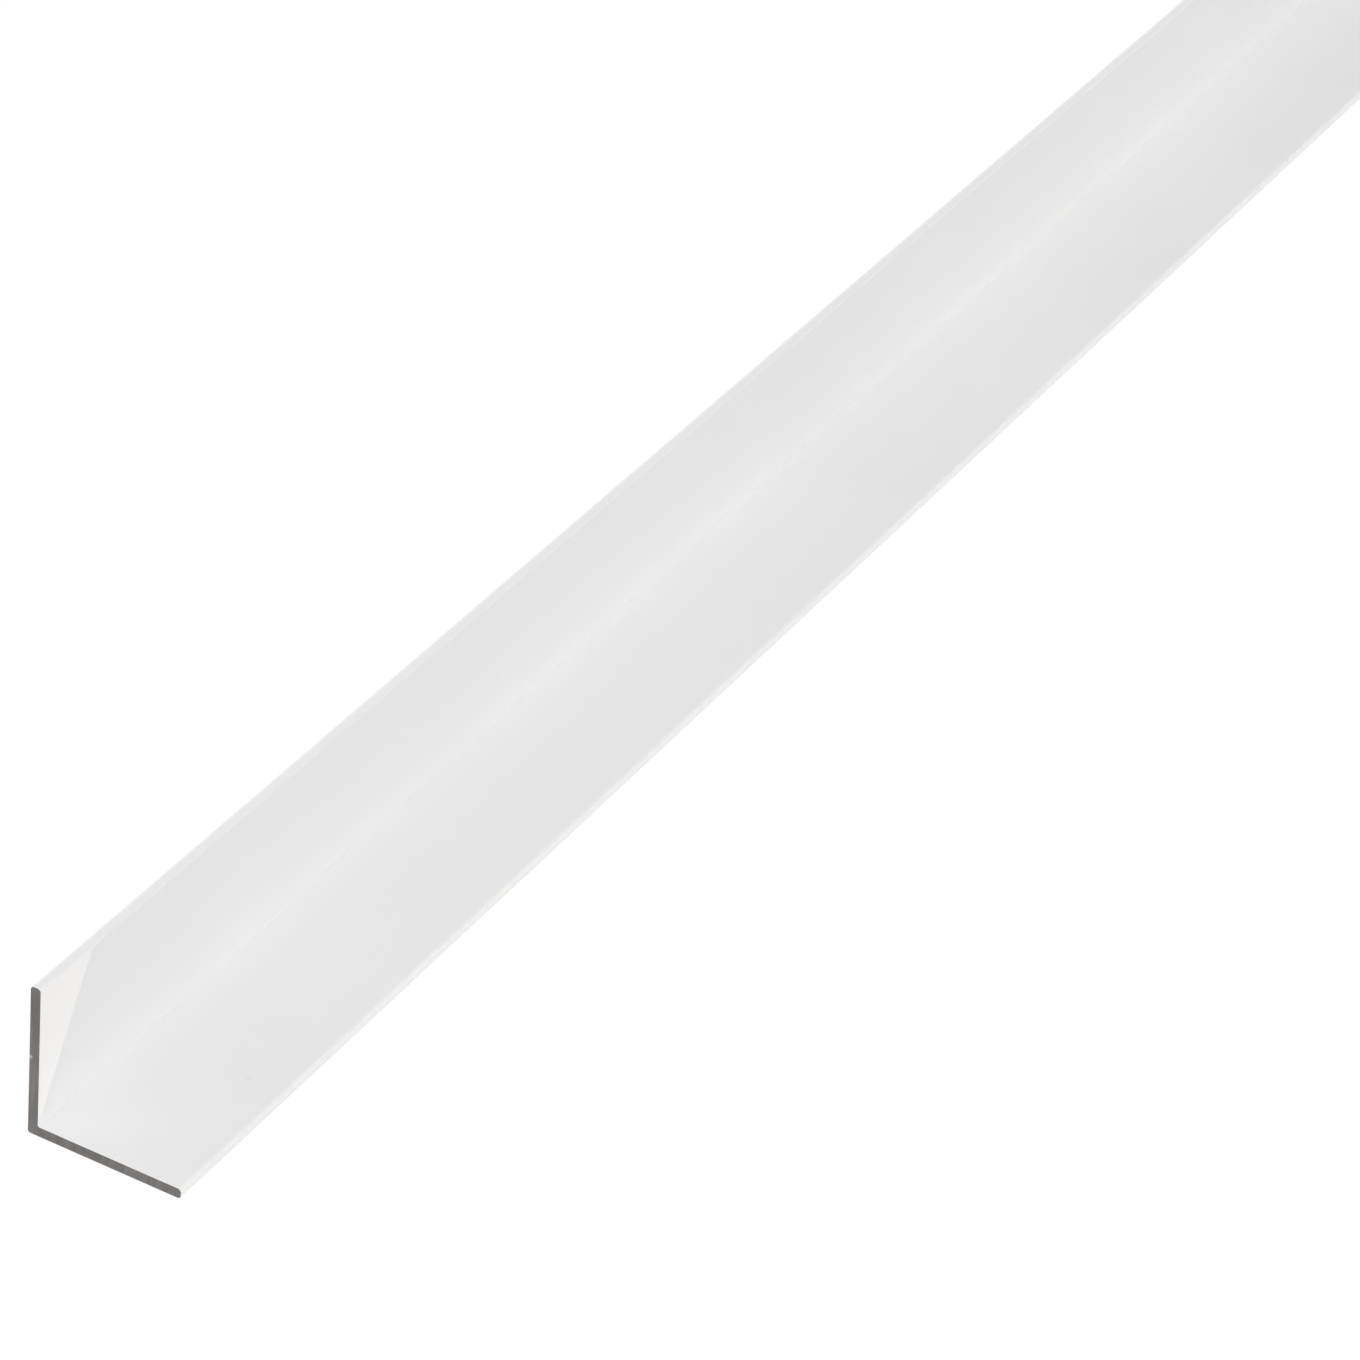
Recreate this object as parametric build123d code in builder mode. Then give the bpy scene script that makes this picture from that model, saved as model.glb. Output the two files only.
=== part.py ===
from build123d import *

import os

# A straight length of extruded equal-leg angle section, laid on one leg with the other upright.
# +Y runs along the bar, +X from the heel to the toe of the lying leg, and +Z up the upright leg.
# The origin is on the floor, under the middle of the bar's box.
# Sizes are in millimetres, over the coat.

# Driving dimensions
bar_length = 1000.0  # between the two sawn ends
lying_leg_width = 30.0  # from the back of the upright leg to the toe
upright_leg_width = 30.0  # from the underside of the lying leg to the toe
wall_thickness = 2.0  # the same in both legs
heel_radius = 0.5  # outside corner, where the legs meet
root_radius = 0.3  # inside corner, where the legs meet
toe_radius = 0.7  # both corners of each leg's free edge

# A toe keeps a flat between its two rounded corners
widest_toe_round = 0.45  # share of the wall that one corner may take
toe_round = min(toe_radius, widest_toe_round * wall_thickness)

# Places across the section
heel_x = -lying_leg_width / 2
floor_z = 0.0


# The section: a lying leg and an upright leg that share the heel
with BuildPart() as angle_section:
    with BuildSketch(Plane.XZ) as section:
        with Locations((heel_x, floor_z)):
            Rectangle(lying_leg_width, wall_thickness, align=(Align.MIN, Align.MIN))
            Rectangle(wall_thickness, upright_leg_width, align=(Align.MIN, Align.MIN))

        # The free edge of each leg
        lying_toe = section.vertices().group_by(Axis.X)[-1]
        upright_toe = section.vertices().group_by(Axis.Y)[-1]
        fillet(lying_toe + upright_toe, toe_round)

        # The corner between the legs, inside and outside
        root = section.vertices().sort_by_distance((heel_x + wall_thickness, wall_thickness))[0]
        fillet(root, root_radius)
        heel = section.vertices().sort_by_distance((heel_x, floor_z))[0]
        fillet(heel, heel_radius)

    # The bar, half of its length to each side of the section's plane
    extrude(amount=bar_length / 2, both=True)

angle_section.part.label = "angle_section"

os.makedirs("parts", exist_ok=True)
export_step(angle_section.part, "parts/angle_section.step")
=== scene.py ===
"""A length of white-coated metal angle section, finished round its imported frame.

The bar is the frame's own solid, which takes the coat. The bare metal that shows at its two sawn ends
is modelled here. Everything is in metres, in the frame's axes: +Y along the bar, +X across the lying
leg from heel to toe, +Z up the upright leg.
"""

import logging
import math
from dataclasses import dataclass, field
from enum import Enum

import bmesh
import bpy
from mathutils import Matrix, Vector


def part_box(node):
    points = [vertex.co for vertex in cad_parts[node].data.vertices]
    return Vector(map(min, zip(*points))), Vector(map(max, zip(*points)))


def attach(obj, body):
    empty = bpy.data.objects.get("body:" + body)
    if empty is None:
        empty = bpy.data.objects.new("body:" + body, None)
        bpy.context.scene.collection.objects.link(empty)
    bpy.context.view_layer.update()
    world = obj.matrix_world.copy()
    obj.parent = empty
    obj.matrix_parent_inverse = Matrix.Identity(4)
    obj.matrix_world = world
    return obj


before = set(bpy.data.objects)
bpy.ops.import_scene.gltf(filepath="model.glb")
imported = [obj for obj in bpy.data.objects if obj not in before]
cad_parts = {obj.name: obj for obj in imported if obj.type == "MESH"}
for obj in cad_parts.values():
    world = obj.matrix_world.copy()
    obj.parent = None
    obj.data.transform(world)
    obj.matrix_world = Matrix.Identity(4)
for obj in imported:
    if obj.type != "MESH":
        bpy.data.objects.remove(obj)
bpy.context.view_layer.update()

MM = 0.001  # one millimetre, in metres
BAR_NODE = "angle_section"
BODY = "root"
NOISE_SPAN = (0.3, 0.7)  # where most of a noise pattern's values lie

log = logging.getLogger("angle_section")


class BarEnd(Enum):
    """The two sawn ends of the bar, by the way that each faces along Y."""

    NEAR = -1
    FAR = 1

    @property
    def piece_name(self) -> str:
        """Name of the bare metal piece at this end."""
        return f"sawn_end_{self.name.lower()}"


class Slot(Enum):
    """Names of the material slots."""

    COAT = "white_coat"
    METAL = "sawn_metal"


# ---------------------------------------------------------------------------
# Small helpers for node trees and for edit mode
# ---------------------------------------------------------------------------


@dataclass
class NodeBench:
    """Adds and links the nodes of one tree, for a material or for Geometry Nodes."""

    tree: bpy.types.NodeTree

    def add(
        self, kind: str, inputs: dict[str | int, object] | None = None, **settings: object
    ) -> bpy.types.Node:
        """Adds one node, with its settings and its inputs.

        Args:
            kind: The node's type name.
            inputs: For each input, by name or number, a value to set or a socket to link.
            **settings: Properties of the node itself.

        Returns:
            The new node.
        """
        node = self.tree.nodes.new(kind)
        for name, value in settings.items():
            setattr(node, name, value)
        for key, value in (inputs or {}).items():
            if isinstance(value, bpy.types.NodeSocket):
                self.tree.links.new(value, node.inputs[key])
            else:
                node.inputs[key].default_value = value
        return node

    def math(
        self, operation: str, *terms: float | bpy.types.NodeSocket
    ) -> bpy.types.NodeSocket:
        """Adds a Math node.

        Args:
            operation: The node's operation, such as "ADD".
            *terms: Its numbers or sockets, in order.

        Returns:
            The node's result.
        """
        return self.add("ShaderNodeMath", dict(enumerate(terms)), operation=operation).outputs[0]

    def noise(
        self, place: bpy.types.NodeSocket, size: float, detail: float = 2.0
    ) -> bpy.types.NodeSocket:
        """Adds a noise pattern.

        Args:
            place: Where the pattern is read.
            size: Width of the pattern's features, in the units of the place.
            detail: Octaves of finer noise on top.

        Returns:
            The pattern's value, from 0 to 1.
        """
        inputs = {"Vector": place, "Scale": 1.0 / size, "Detail": detail}
        return self.add("ShaderNodeTexNoise", inputs).outputs[0]

    def vector(
        self, operation: str, first: bpy.types.NodeSocket, second: object
    ) -> bpy.types.NodeSocket:
        """Adds a Vector Math node of two vectors.

        Args:
            operation: The node's operation, such as "SUBTRACT".
            first: The first vector's socket.
            second: The second vector, or its socket.

        Returns:
            The node's vector.
        """
        return self.add("ShaderNodeVectorMath", {0: first, 1: second}, operation=operation).outputs[0]

    def length(self, vector: bpy.types.NodeSocket) -> bpy.types.NodeSocket:
        """Adds nodes for a vector's length."""
        return self.add("ShaderNodeVectorMath", {0: vector}, operation="LENGTH").outputs["Value"]

    def remap(
        self,
        value: bpy.types.NodeSocket,
        source: tuple[float, float],
        target: tuple[float, float],
        smooth: bool = False,
    ) -> bpy.types.NodeSocket:
        """Maps one range of values to another, and holds its ends.

        Args:
            value: The value to map.
            source: The range that it comes from.
            target: The range that it goes to.
            smooth: Whether the ends are eased.

        Returns:
            The mapped value.
        """
        inputs = {
            "Value": value,
            "From Min": source[0],
            "From Max": source[1],
            "To Min": target[0],
            "To Max": target[1],
        }
        kind = "SMOOTHSTEP" if smooth else "LINEAR"
        return self.add("ShaderNodeMapRange", inputs, interpolation_type=kind).outputs[0]

    def mix_colour(
        self, share: float | bpy.types.NodeSocket, first: object, second: object
    ) -> bpy.types.NodeSocket:
        """Mixes two colours.

        Args:
            share: The second colour's share.
            first: The first colour, or its socket.
            second: The second colour, or its socket.

        Returns:
            The mixed colour.
        """
        node = self.add("ShaderNodeMix", data_type="RGBA")
        for socket_number, value in ((0, share), (6, first), (7, second)):
            if isinstance(value, bpy.types.NodeSocket):
                self.tree.links.new(value, node.inputs[socket_number])
            else:
                node.inputs[socket_number].default_value = value
        return node.outputs[2]


def new_material(name: str) -> tuple[bpy.types.Material, NodeBench]:
    """Makes an empty node material.

    Args:
        name: The material's name.

    Returns:
        The material, and a bench for its nodes.
    """
    material = bpy.data.materials.new(name)
    material.use_nodes = True
    material.node_tree.nodes.clear()
    return material, NodeBench(material.node_tree)


def opaque(rgb: tuple[float, float, float]) -> tuple[float, float, float, float]:
    """Gives a colour its alpha."""
    return (*rgb, 1.0)


def select_only(piece: bpy.types.Object) -> None:
    """Deselects everything, then selects one object and makes it active."""
    bpy.ops.object.select_all(action="DESELECT")
    piece.select_set(True)
    bpy.context.view_layer.objects.active = piece


# ---------------------------------------------------------------------------
# Finishes
# ---------------------------------------------------------------------------


@dataclass(frozen=True)
class MarkOrPaintedShade:
    """A small soft-edged mark round one place: a real speck or fleck, or painted shade along an edge.

    Its distances are weighed by axis: with no weight on Y, it is a line along the whole bar.
    """

    place: Vector
    radius: float
    strength: float
    weights: tuple[float, float, float] = (1.0, 1.0, 1.0)
    full_share: float = 0.3  # share of the radius with the mark's full strength

    def share(self, bench: NodeBench, place: bpy.types.NodeSocket) -> bpy.types.NodeSocket:
        """Adds nodes for how much of the mark lies at a point.

        Args:
            bench: The tree that the nodes go in.
            place: The point, in object coordinates.

        Returns:
            The share, from 0 to the mark's strength.
        """
        offset = bench.vector("SUBTRACT", place, self.place)
        gap = bench.length(bench.vector("MULTIPLY", offset, self.weights))
        fade = (self.radius * self.full_share, self.radius)
        return bench.remap(gap, fade, (self.strength, 0.0), smooth=True)


@dataclass(frozen=True)
class PowderCoat:
    """A baked white powder coat: satin, with a fine orange peel, a few dust nibs, and greyer places that
    are real specks or painted shade.
    """

    # Real specks, and painted shade along the root and the top inner edge.
    marks_and_painted_shade: tuple[MarkOrPaintedShade, ...]
    white: tuple[float, float, float] = (0.84, 0.84, 0.836)
    cool_white: tuple[float, float, float] = (0.825, 0.828, 0.824)
    # Grey of the real specks and of the painted shade along edges.
    mark: tuple[float, float, float] = (0.55, 0.55, 0.55)
    roughness: float = 0.42
    roughness_drift: float = 0.04
    gloss_size: float = 10.8 * MM
    tint_size: float = 70 * MM
    tint_span: tuple[float, float] = (0.35, 0.65)
    peel_size: float = 1.8 * MM
    fine_peel_size: float = 0.5 * MM
    fine_peel_share: float = 0.25
    peel_height: float = 0.012 * MM
    nib_spacing: float = 14 * MM
    nib_radius: float = 0.22 * MM
    nib_height: float = 0.02 * MM

    def build(self) -> bpy.types.Material:
        """Makes the coat's material."""
        material, bench = new_material("white powder coat")
        place = bench.add("ShaderNodeTexCoord").outputs["Object"]
        shader = bench.add(
            "ShaderNodeBsdfPrincipled",
            {"Base Color": self.colour(bench, place), "Normal": self.relief(bench, place), "IOR": 1.5},
        )
        ends = (self.roughness - self.roughness_drift, self.roughness + self.roughness_drift)
        roughness = bench.remap(bench.noise(place, self.gloss_size), NOISE_SPAN, ends)
        bench.tree.links.new(roughness, shader.inputs["Roughness"])
        bench.add("ShaderNodeOutputMaterial", {"Surface": shader.outputs[0]})
        return material

    def colour(self, bench: NodeBench, place: bpy.types.NodeSocket) -> bpy.types.NodeSocket:
        """Adds nodes for the white, with its faint drift and its greyer places: real specks, and painted
        shade along edges.

        Args:
            bench: The tree that the nodes go in.
            place: Object coordinates.

        Returns:
            The colour.
        """
        drift = bench.noise(place, self.tint_size)
        drift = bench.remap(drift, self.tint_span, (0.0, 1.0), smooth=True)
        colour = bench.mix_colour(drift, opaque(self.white), opaque(self.cool_white))
        for mark_or_shade in self.marks_and_painted_shade:
            colour = bench.mix_colour(mark_or_shade.share(bench, place), colour, opaque(self.mark))
        return colour

    def relief(self, bench: NodeBench, place: bpy.types.NodeSocket) -> bpy.types.NodeSocket:
        """Adds nodes for the orange peel and the dust nibs.

        Args:
            bench: The tree that the nodes go in.
            place: Object coordinates.

        Returns:
            The bumped normal.
        """
        broad = bench.noise(place, self.peel_size, detail=1.0)
        fine = bench.noise(place, self.fine_peel_size, detail=1.0)
        peel = bench.math("ADD", broad, bench.math("MULTIPLY", fine, self.fine_peel_share))
        cells = bench.add("ShaderNodeTexVoronoi", {"Vector": place, "Scale": 1.0 / self.nib_spacing})
        reach = self.nib_radius / self.nib_spacing
        rise = self.nib_height / self.peel_height
        nib = bench.remap(cells.outputs["Distance"], (0.0, reach), (rise, 0.0), smooth=True)
        inputs = {"Height": bench.math("ADD", peel, nib), "Distance": self.peel_height, "Strength": 1.0}
        return bench.add("ShaderNodeBump", inputs).outputs[0]


@dataclass(frozen=True)
class SawCut:
    """The marks that a round saw blade leaves across the bar's end: arcs about the blade's axle."""

    axle: Vector
    arc_length: float = 9 * MM

    def streaks(
        self, bench: NodeBench, place: bpy.types.NodeSocket, width: float, detail: float = 1.0
    ) -> bpy.types.NodeSocket:
        """Adds nodes for streaks that run along the blade's arcs.

        Args:
            bench: The tree that the nodes go in, for a material or for Geometry Nodes.
            place: Where the streaks are read, in object coordinates.
            width: Width of a streak.
            detail: Octaves of finer streaks on top.

        Returns:
            The streaks' value, from 0 to 1.
        """
        from_axle = bench.vector("SUBTRACT", place, self.axle)
        reach = bench.length(bench.vector("MULTIPLY", from_axle, (1, 0, 1)))
        parts = bench.add("ShaderNodeSeparateXYZ", {0: place})
        streak = bench.add(
            "ShaderNodeCombineXYZ",
            {
                "X": bench.math("DIVIDE", reach, width),
                "Y": bench.math("DIVIDE", parts.outputs["Z"], self.arc_length),
                "Z": bench.math("DIVIDE", parts.outputs["Y"], self.arc_length),
            },
        )
        return bench.noise(streak.outputs[0], 1.0, detail)


@dataclass(frozen=True)
class SawnMetal:
    """Bare sawn aluminium, streaked along the blade's arcs: a dull, warm grey that is partly the metal's
    own and partly painted shade, darker than bare aluminium.
    """

    saw: SawCut
    fleck: MarkOrPaintedShade
    coat: tuple[float, float, float]
    # Streak greys, darker than bare aluminium: the metal's own tone with painted shade in it.
    dark: tuple[float, float, float] = (0.139, 0.128, 0.1225)
    light: tuple[float, float, float] = (0.222, 0.208, 0.1995)
    roughness: float = 0.5
    roughness_drift: float = 0.1
    roughness_span: tuple[float, float] = (0.2, 0.8)
    metallic: float = 0.75
    broad_width: float = 2.4 * MM
    broad_share: float = 0.5
    middle_width: float = 0.45 * MM
    middle_share: float = 0.3
    fine_width: float = 0.09 * MM
    fine_share: float = 0.2
    tone_span: tuple[float, float] = (0.32, 0.68)
    scratch_height: float = 0.006 * MM

    def build(self) -> bpy.types.Material:
        """Makes the sawn metal's material."""
        material, bench = new_material("sawn aluminium")
        place = bench.add("ShaderNodeTexCoord").outputs["Object"]
        broad = self.saw.streaks(bench, place, self.broad_width)
        middle = self.saw.streaks(bench, place, self.middle_width)
        fine = self.saw.streaks(bench, place, self.fine_width, detail=2.0)
        tone = bench.math("MULTIPLY", broad, self.broad_share)
        tone = bench.math("ADD", tone, bench.math("MULTIPLY", middle, self.middle_share))
        tone = bench.math("ADD", tone, bench.math("MULTIPLY", fine, self.fine_share))
        share = bench.remap(tone, self.tone_span, (0.0, 1.0))
        metal = bench.mix_colour(share, opaque(self.dark), opaque(self.light))
        fleck = self.fleck.share(bench, place)
        bump = bench.add(
            "ShaderNodeBump",
            {"Height": bench.math("ADD", middle, fine), "Distance": self.scratch_height, "Strength": 1.0},
        )
        ends = (self.roughness - self.roughness_drift, self.roughness + self.roughness_drift)
        shader = bench.add(
            "ShaderNodeBsdfPrincipled",
            {
                "Base Color": bench.mix_colour(fleck, metal, opaque(self.coat)),
                "Metallic": bench.remap(fleck, (0.0, 1.0), (self.metallic, 0.0)),
                "Roughness": bench.remap(fine, self.roughness_span, ends),
                "Normal": bump.outputs[0],
            },
        )
        bench.add("ShaderNodeOutputMaterial", {"Surface": shader.outputs[0]})
        return material


# ---------------------------------------------------------------------------
# The object
# ---------------------------------------------------------------------------


@dataclass
class CoatedBar:
    """The frame's own bar, which keeps its shape and takes the coat."""

    finish: PowderCoat

    def dress(self) -> bpy.types.Object:
        """Gives the bar its coat.

        Returns:
            The bar.
        """
        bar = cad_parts[BAR_NODE]
        bar.data.materials.clear()
        bar.data.materials.append(self.finish.build())
        return bar


@dataclass
class SawnEnd:
    """The bare metal inside the coat at one sawn end, a thin plate seated in the bar's end."""

    end: BarEnd
    saw: SawCut
    finish: bpy.types.Material
    coat_thickness: float = 0.06 * MM
    proud: float = 0.03 * MM
    seat_depth: float = 0.12 * MM
    ridge_width: float = 0.3 * MM
    relief_share: float = 0.7  # share of what stands proud that the saw's marks may take
    cut_pitch: Vector = field(default_factory=lambda: Vector((0.1 * MM, 0.0, 1.0 * MM)))
    merge_distance: float = 0.001 * MM
    flat_angle: float = math.radians(0.5)
    smooth_angle: float = math.radians(35)

    def build(self) -> bpy.types.Object:
        """Models the plate from the outline of the bar's end.

        Returns:
            The finished plate.
        """
        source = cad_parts[BAR_NODE]
        plate = bpy.data.objects.new(self.end.piece_name, source.data.copy())
        bpy.context.scene.collection.objects.link(plate)
        select_only(plate)
        bpy.ops.object.mode_set(mode="EDIT")
        self.keep_end_face(plate)
        self.inset_by_coat()
        self.thicken()
        self.cut_grid()
        bpy.ops.object.mode_set(mode="OBJECT")
        self.add_saw_relief(plate)
        bpy.ops.object.shade_smooth_by_angle(angle=self.smooth_angle)
        self.dress(plate)
        return plate

    @property
    def outward(self) -> Vector:
        """Direction in which the end faces."""
        return Vector((0.0, float(self.end.value), 0.0))

    @property
    def end_y(self) -> float:
        """Place of the bar's end along the bar."""
        low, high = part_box(BAR_NODE)
        return high.y if self.end is BarEnd.FAR else low.y

    def keep_end_face(self, plate: bpy.types.Object) -> None:
        """Merges the copied bar and deletes all of it but the end's face, as one face.

        Args:
            plate: The copy, in edit mode.
        """
        bpy.ops.mesh.select_all(action="SELECT")
        bpy.ops.mesh.remove_doubles(threshold=self.merge_distance)
        bpy.ops.mesh.select_mode(type="FACE")
        bpy.ops.mesh.select_all(action="DESELECT")
        mesh = bmesh.from_edit_mesh(plate.data)
        for face in mesh.faces:
            face.select_set(face.normal.dot(self.outward) < 0.5)
        bmesh.update_edit_mesh(plate.data)
        bpy.ops.mesh.delete(type="FACE")
        bpy.ops.mesh.select_all(action="SELECT")
        bpy.ops.mesh.dissolve_limited(angle_limit=self.flat_angle)

    def inset_by_coat(self) -> None:
        """Draws the face in from the bar's outline by the coat, and deletes the rim."""
        bpy.ops.mesh.select_all(action="SELECT")
        bpy.ops.mesh.inset(thickness=self.coat_thickness, use_boundary=True, use_even_offset=True)
        bpy.ops.mesh.select_all(action="INVERT")
        bpy.ops.mesh.delete(type="FACE")

    def thicken(self) -> None:
        """Makes the face a closed plate, seated in the bar and a hair proud of it."""
        bpy.ops.mesh.select_all(action="SELECT")
        bpy.ops.transform.translate(value=-self.outward * self.seat_depth)
        depth = self.outward * (self.seat_depth + self.proud)
        bpy.ops.mesh.extrude_region_move(TRANSFORM_OT_translate={"value": depth})
        bpy.ops.mesh.select_all(action="SELECT")
        bpy.ops.mesh.normals_make_consistent(inside=False)

    def cut_grid(self) -> None:
        """Cuts the plate across in even steps, so that its face can carry the saw's relief."""
        low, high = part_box(BAR_NODE)
        for axis in (0, 2):
            step = self.cut_pitch[axis]
            normal = Vector((0.0, 0.0, 0.0))
            normal[axis] = 1.0
            for number in range(1, math.ceil((high[axis] - low[axis]) / step)):
                bpy.ops.mesh.select_all(action="SELECT")
                bpy.ops.mesh.bisect(plane_co=low + normal * step * number, plane_no=normal)

    def add_saw_relief(self, plate: bpy.types.Object) -> None:
        """Sinks the plate's outer face by the streaks of the saw, as real relief.

        Args:
            plate: The plate, in object mode.
        """
        relief = bpy.data.node_groups.new("saw relief", "GeometryNodeTree")
        relief.interface.new_socket("Geometry", in_out="INPUT", socket_type="NodeSocketGeometry")
        relief.interface.new_socket("Geometry", in_out="OUTPUT", socket_type="NodeSocketGeometry")
        bench = NodeBench(relief)
        place = bench.add("GeometryNodeInputPosition").outputs[0]
        along = bench.add("ShaderNodeSeparateXYZ", {0: place}).outputs["Y"]
        past_end = bench.math("MULTIPLY", bench.math("SUBTRACT", along, self.end_y), self.outward.y)
        on_face = bench.add(
            "FunctionNodeCompare",
            {0: past_end, 1: self.proud / 2},
            data_type="FLOAT",
            operation="GREATER_THAN",
        )
        ridges = self.saw.streaks(bench, place, self.ridge_width)
        depth = bench.remap(ridges, NOISE_SPAN, (0.0, self.proud * self.relief_share))
        inward = {0: -self.outward, "Scale": depth}
        sink = bench.add("ShaderNodeVectorMath", inward, operation="SCALE")
        source = bench.add("NodeGroupInput")
        moved = bench.add(
            "GeometryNodeSetPosition",
            {"Geometry": source.outputs[0], "Selection": on_face.outputs[0], "Offset": sink.outputs[0]},
        )
        bench.add("NodeGroupOutput", {0: moved.outputs[0]})
        modifier = plate.modifiers.new("saw relief", "NODES")
        modifier.node_group = relief
        bpy.ops.object.modifier_apply(modifier=modifier.name)
        bpy.data.node_groups.remove(relief)

    def dress(self, plate: bpy.types.Object) -> None:
        """Gives the plate its finish and its body."""
        plate.data.materials.clear()
        plate.data.materials.append(self.finish)
        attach(plate, BODY)


# ---------------------------------------------------------------------------
# The studio
# ---------------------------------------------------------------------------


@dataclass(frozen=True)
class SoftBox:
    """A square lamp, turned to the middle of the bar. Its azimuth runs from +X towards +Y."""

    name: str
    azimuth: float
    elevation: float
    watts: float
    distance: float = 6.0
    side: float = 4.0
    colour: tuple[float, float, float] = (1.0, 1.0, 1.0)

    def build(self, target: Vector) -> None:
        """Adds the lamp.

        Args:
            target: The point that it faces.
        """
        level = math.cos(self.elevation)
        away = Vector(
            (level * math.cos(self.azimuth), level * math.sin(self.azimuth), math.sin(self.elevation))
        )
        bpy.ops.object.light_add(type="AREA", location=target + away * self.distance)
        lamp = bpy.context.object
        lamp.name = self.name
        lamp.rotation_euler = (-away).to_track_quat("-Z", "Y").to_euler()
        lamp.data.size = self.side
        lamp.data.energy = self.watts
        lamp.data.color = self.colour


@dataclass
class LowLamp:
    """A weak warm lamp, low in front of the near end, that the floor does not stop."""

    name: str = "low front"
    beam: Vector = field(default_factory=lambda: Vector((-1.8, 1.0, 1.9)))
    strength: float = 0.68
    spread: float = math.radians(0.6)
    colour: tuple[float, float, float] = (1.0, 0.86, 0.74)

    def build(self, pieces: list[bpy.types.Object]) -> None:
        """Adds the lamp.

        Args:
            pieces: The pieces that stop its light.
        """
        bpy.ops.object.light_add(type="SUN")
        lamp = bpy.context.object
        lamp.name = self.name
        lamp.rotation_euler = self.beam.to_track_quat("-Z", "Y").to_euler()
        lamp.data.energy = self.strength
        lamp.data.angle = self.spread
        lamp.data.color = self.colour
        stops = bpy.data.collections.new("stops the low lamp")
        for piece in pieces:
            stops.objects.link(piece)
        lamp.light_linking.blocker_collection = stops


@dataclass
class Studio:
    """A pale floor without edges, an even surround and the lamps."""

    boxes: tuple[SoftBox, ...] = (
        SoftBox("front right", azimuth=math.radians(-60), elevation=math.radians(45), watts=134.7),
        SoftBox("toe side", azimuth=0.0, elevation=math.radians(25), watts=118.3),
        SoftBox("heel side", azimuth=math.radians(180), elevation=math.radians(12), watts=131.0),
        SoftBox("back, low", math.radians(180), math.radians(5), watts=57.0, side=1.0),
        SoftBox(
            "close front left", math.radians(-110), math.radians(30), watts=5.16, distance=2.0, side=1.2
        ),
    )
    low_lamp: LowLamp = field(default_factory=LowLamp)
    floor_radius: float = 60.0
    floor_corners: int = 96
    floor_colour: tuple[float, float, float] = (0.62, 0.62, 0.62)
    surround: float = 0.40
    light: tuple[float, float, float] = (1.0, 1.0, 1.0)
    floor_share: float = 0.8
    floor_glow: float = 1.13

    def build(self, pieces: list[bpy.types.Object]) -> None:
        """Builds the floor, the surround and the lamps.

        Args:
            pieces: The object's pieces.
        """
        low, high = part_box(BAR_NODE)
        self.build_floor(low.z)
        self.build_surround()
        for box in self.boxes:
            box.build(target=(low + high) / 2)
        self.low_lamp.build(pieces)

    def seen_directly(self, bench: NodeBench) -> bpy.types.NodeSocket:
        """Adds nodes that tell rays of the eye, of gloss and through glass from those that light.

        Args:
            bench: The tree that the nodes go in.

        Returns:
            1 for a ray that sees, 0 for one that lights.
        """
        rays = bench.add("ShaderNodeLightPath").outputs
        gloss = bench.math("MAXIMUM", rays["Is Glossy Ray"], rays["Is Transmission Ray"])
        return bench.math("MAXIMUM", rays["Is Camera Ray"], gloss)

    def build_floor(self, height: float) -> None:
        """Adds the floor.

        Args:
            height: The level that the bar lies on.
        """
        bpy.ops.object.select_all(action="DESELECT")
        bpy.ops.mesh.primitive_circle_add(
            vertices=self.floor_corners,
            radius=self.floor_radius,
            fill_type="NGON",
            location=(0.0, 0.0, height),
        )
        floor = bpy.context.object
        floor.name = "floor"
        bpy.ops.object.transform_apply(location=True)
        material, bench = new_material("pale floor")
        matt = bench.add("ShaderNodeBsdfDiffuse", {"Color": opaque(self.floor_colour)})
        glow = bench.add("ShaderNodeEmission", {"Color": opaque(self.light), "Strength": self.floor_glow})
        share = bench.math("MULTIPLY", self.seen_directly(bench), self.floor_share)
        surface = bench.add("ShaderNodeMixShader", {0: share, 1: matt.outputs[0], 2: glow.outputs[0]})
        bench.add("ShaderNodeOutputMaterial", {"Surface": surface.outputs[0]})
        floor.data.materials.append(material)

    def build_surround(self) -> None:
        """Sets the even light from all round, which shows as white."""
        world = bpy.data.worlds.new("surround")
        world.use_nodes = True
        world.node_tree.nodes.clear()
        bench = NodeBench(world.node_tree)
        strength = bench.remap(self.seen_directly(bench), (0.0, 1.0), (self.surround, 1.0))
        light = bench.add("ShaderNodeBackground", {"Color": opaque(self.light), "Strength": strength})
        bench.add("ShaderNodeOutputWorld", {"Surface": light.outputs[0]})
        bpy.context.scene.world = world


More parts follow.
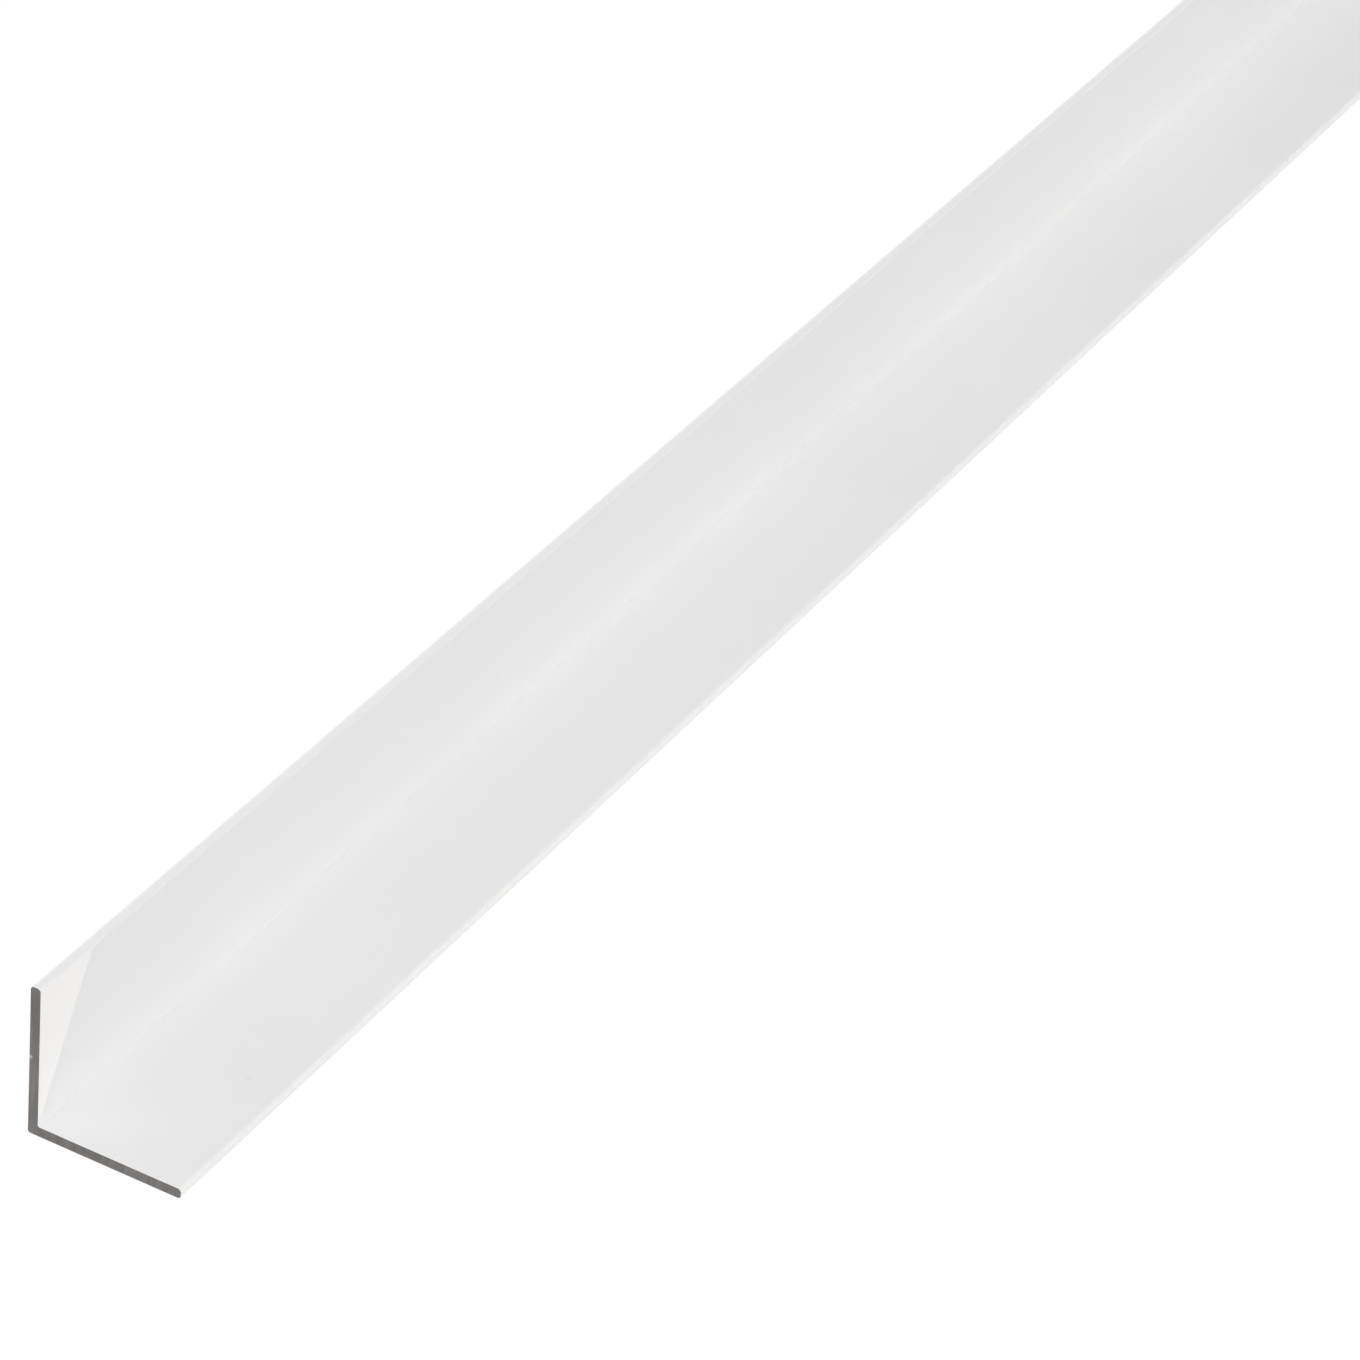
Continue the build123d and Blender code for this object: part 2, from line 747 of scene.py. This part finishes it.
@dataclass
class ProductCamera:
    """A long lens that looks down along the bar, from in front of and beside its near end."""

    from_near_heel: Vector = field(default_factory=lambda: Vector((432.44, -635.72, 616.91)) * MM)
    azimuth: float = math.radians(26.819)
    elevation: float = math.radians(34.098)
    roll: float = math.radians(5.380)
    focal_length_mm: float = 158.453
    sensor_mm: float = 36.0
    clip_start: float = 10 * MM

    def build(self) -> bpy.types.Object:
        """Adds the camera and makes it the scene's own.

        Returns:
            The camera.
        """
        low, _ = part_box(BAR_NODE)
        bpy.ops.object.camera_add()
        camera = bpy.context.object
        camera.name = "product camera"
        turn = (
            Matrix.Rotation(self.azimuth, 4, "Z")
            @ Matrix.Rotation(math.pi / 2 - self.elevation, 4, "X")
            @ Matrix.Rotation(self.roll, 4, "Z")
        )
        camera.matrix_world = Matrix.Translation(low + self.from_near_heel) @ turn
        camera.data.sensor_width = self.sensor_mm
        camera.data.lens = self.focal_length_mm
        camera.data.clip_start = self.clip_start
        bpy.context.scene.camera = camera
        return camera


def main() -> None:
    """Builds and dresses the bar and its ends, then the studio and the camera."""
    logging.basicConfig(level=logging.INFO, format="%(name)s: %(message)s")
    low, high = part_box(BAR_NODE)

    wall = 2.0 * MM  # thickness of both legs
    speck_place = Vector((low.x + 23.0 * MM, low.y + 30.7 * MM, low.z + wall))
    root_line = Vector((low.x + wall, 0.0, low.z + wall))
    top_inner_edge = Vector((low.x + wall, 0.0, high.z))
    along_bar = (1.0, 0.0, 1.0)
    speck = MarkOrPaintedShade(speck_place, radius=0.9 * MM, strength=0.15)
    # Painted shade: a grey line along the root, where the legs meet, which darkens the highlight on the
    # root's rounding.
    painted_root_shade = MarkOrPaintedShade(
        root_line, radius=0.42 * MM, strength=0.17, weights=along_bar, full_share=0.5
    )
    # Painted shade: a grey line along the upright leg's top inner edge, which darkens the highlight on
    # that rounding.
    painted_top_edge_shade = MarkOrPaintedShade(top_inner_edge, radius=0.9 * MM, strength=0.1, weights=along_bar)
    coat = PowderCoat(marks_and_painted_shade=(speck, painted_root_shade, painted_top_edge_shade))
    bar = CoatedBar(coat).dress()
    log.info("%s takes the coat", bar.name)

    saw = SawCut(axle=Vector((low.x - 128 * MM, 0.0, low.z + 12 * MM)))
    fleck_place = Vector((low.x, low.y, low.z + 15.7 * MM))
    wider_than_high = (0.55, 1.0, 1.0)
    fleck = MarkOrPaintedShade(fleck_place, radius=0.5 * MM, strength=0.45, weights=wider_than_high)
    metal = SawnMetal(saw=saw, fleck=fleck, coat=coat.white).build()
    pieces = [bar]
    for end in BarEnd:
        plate = SawnEnd(end, saw, metal).build()
        pieces.append(plate)
        log.info("%s: %d faces", plate.name, len(plate.data.polygons))

    Studio().build(pieces)
    ProductCamera().build()
    bpy.context.scene.view_settings.view_transform = "Standard"


if __name__ == "__main__":
    main()
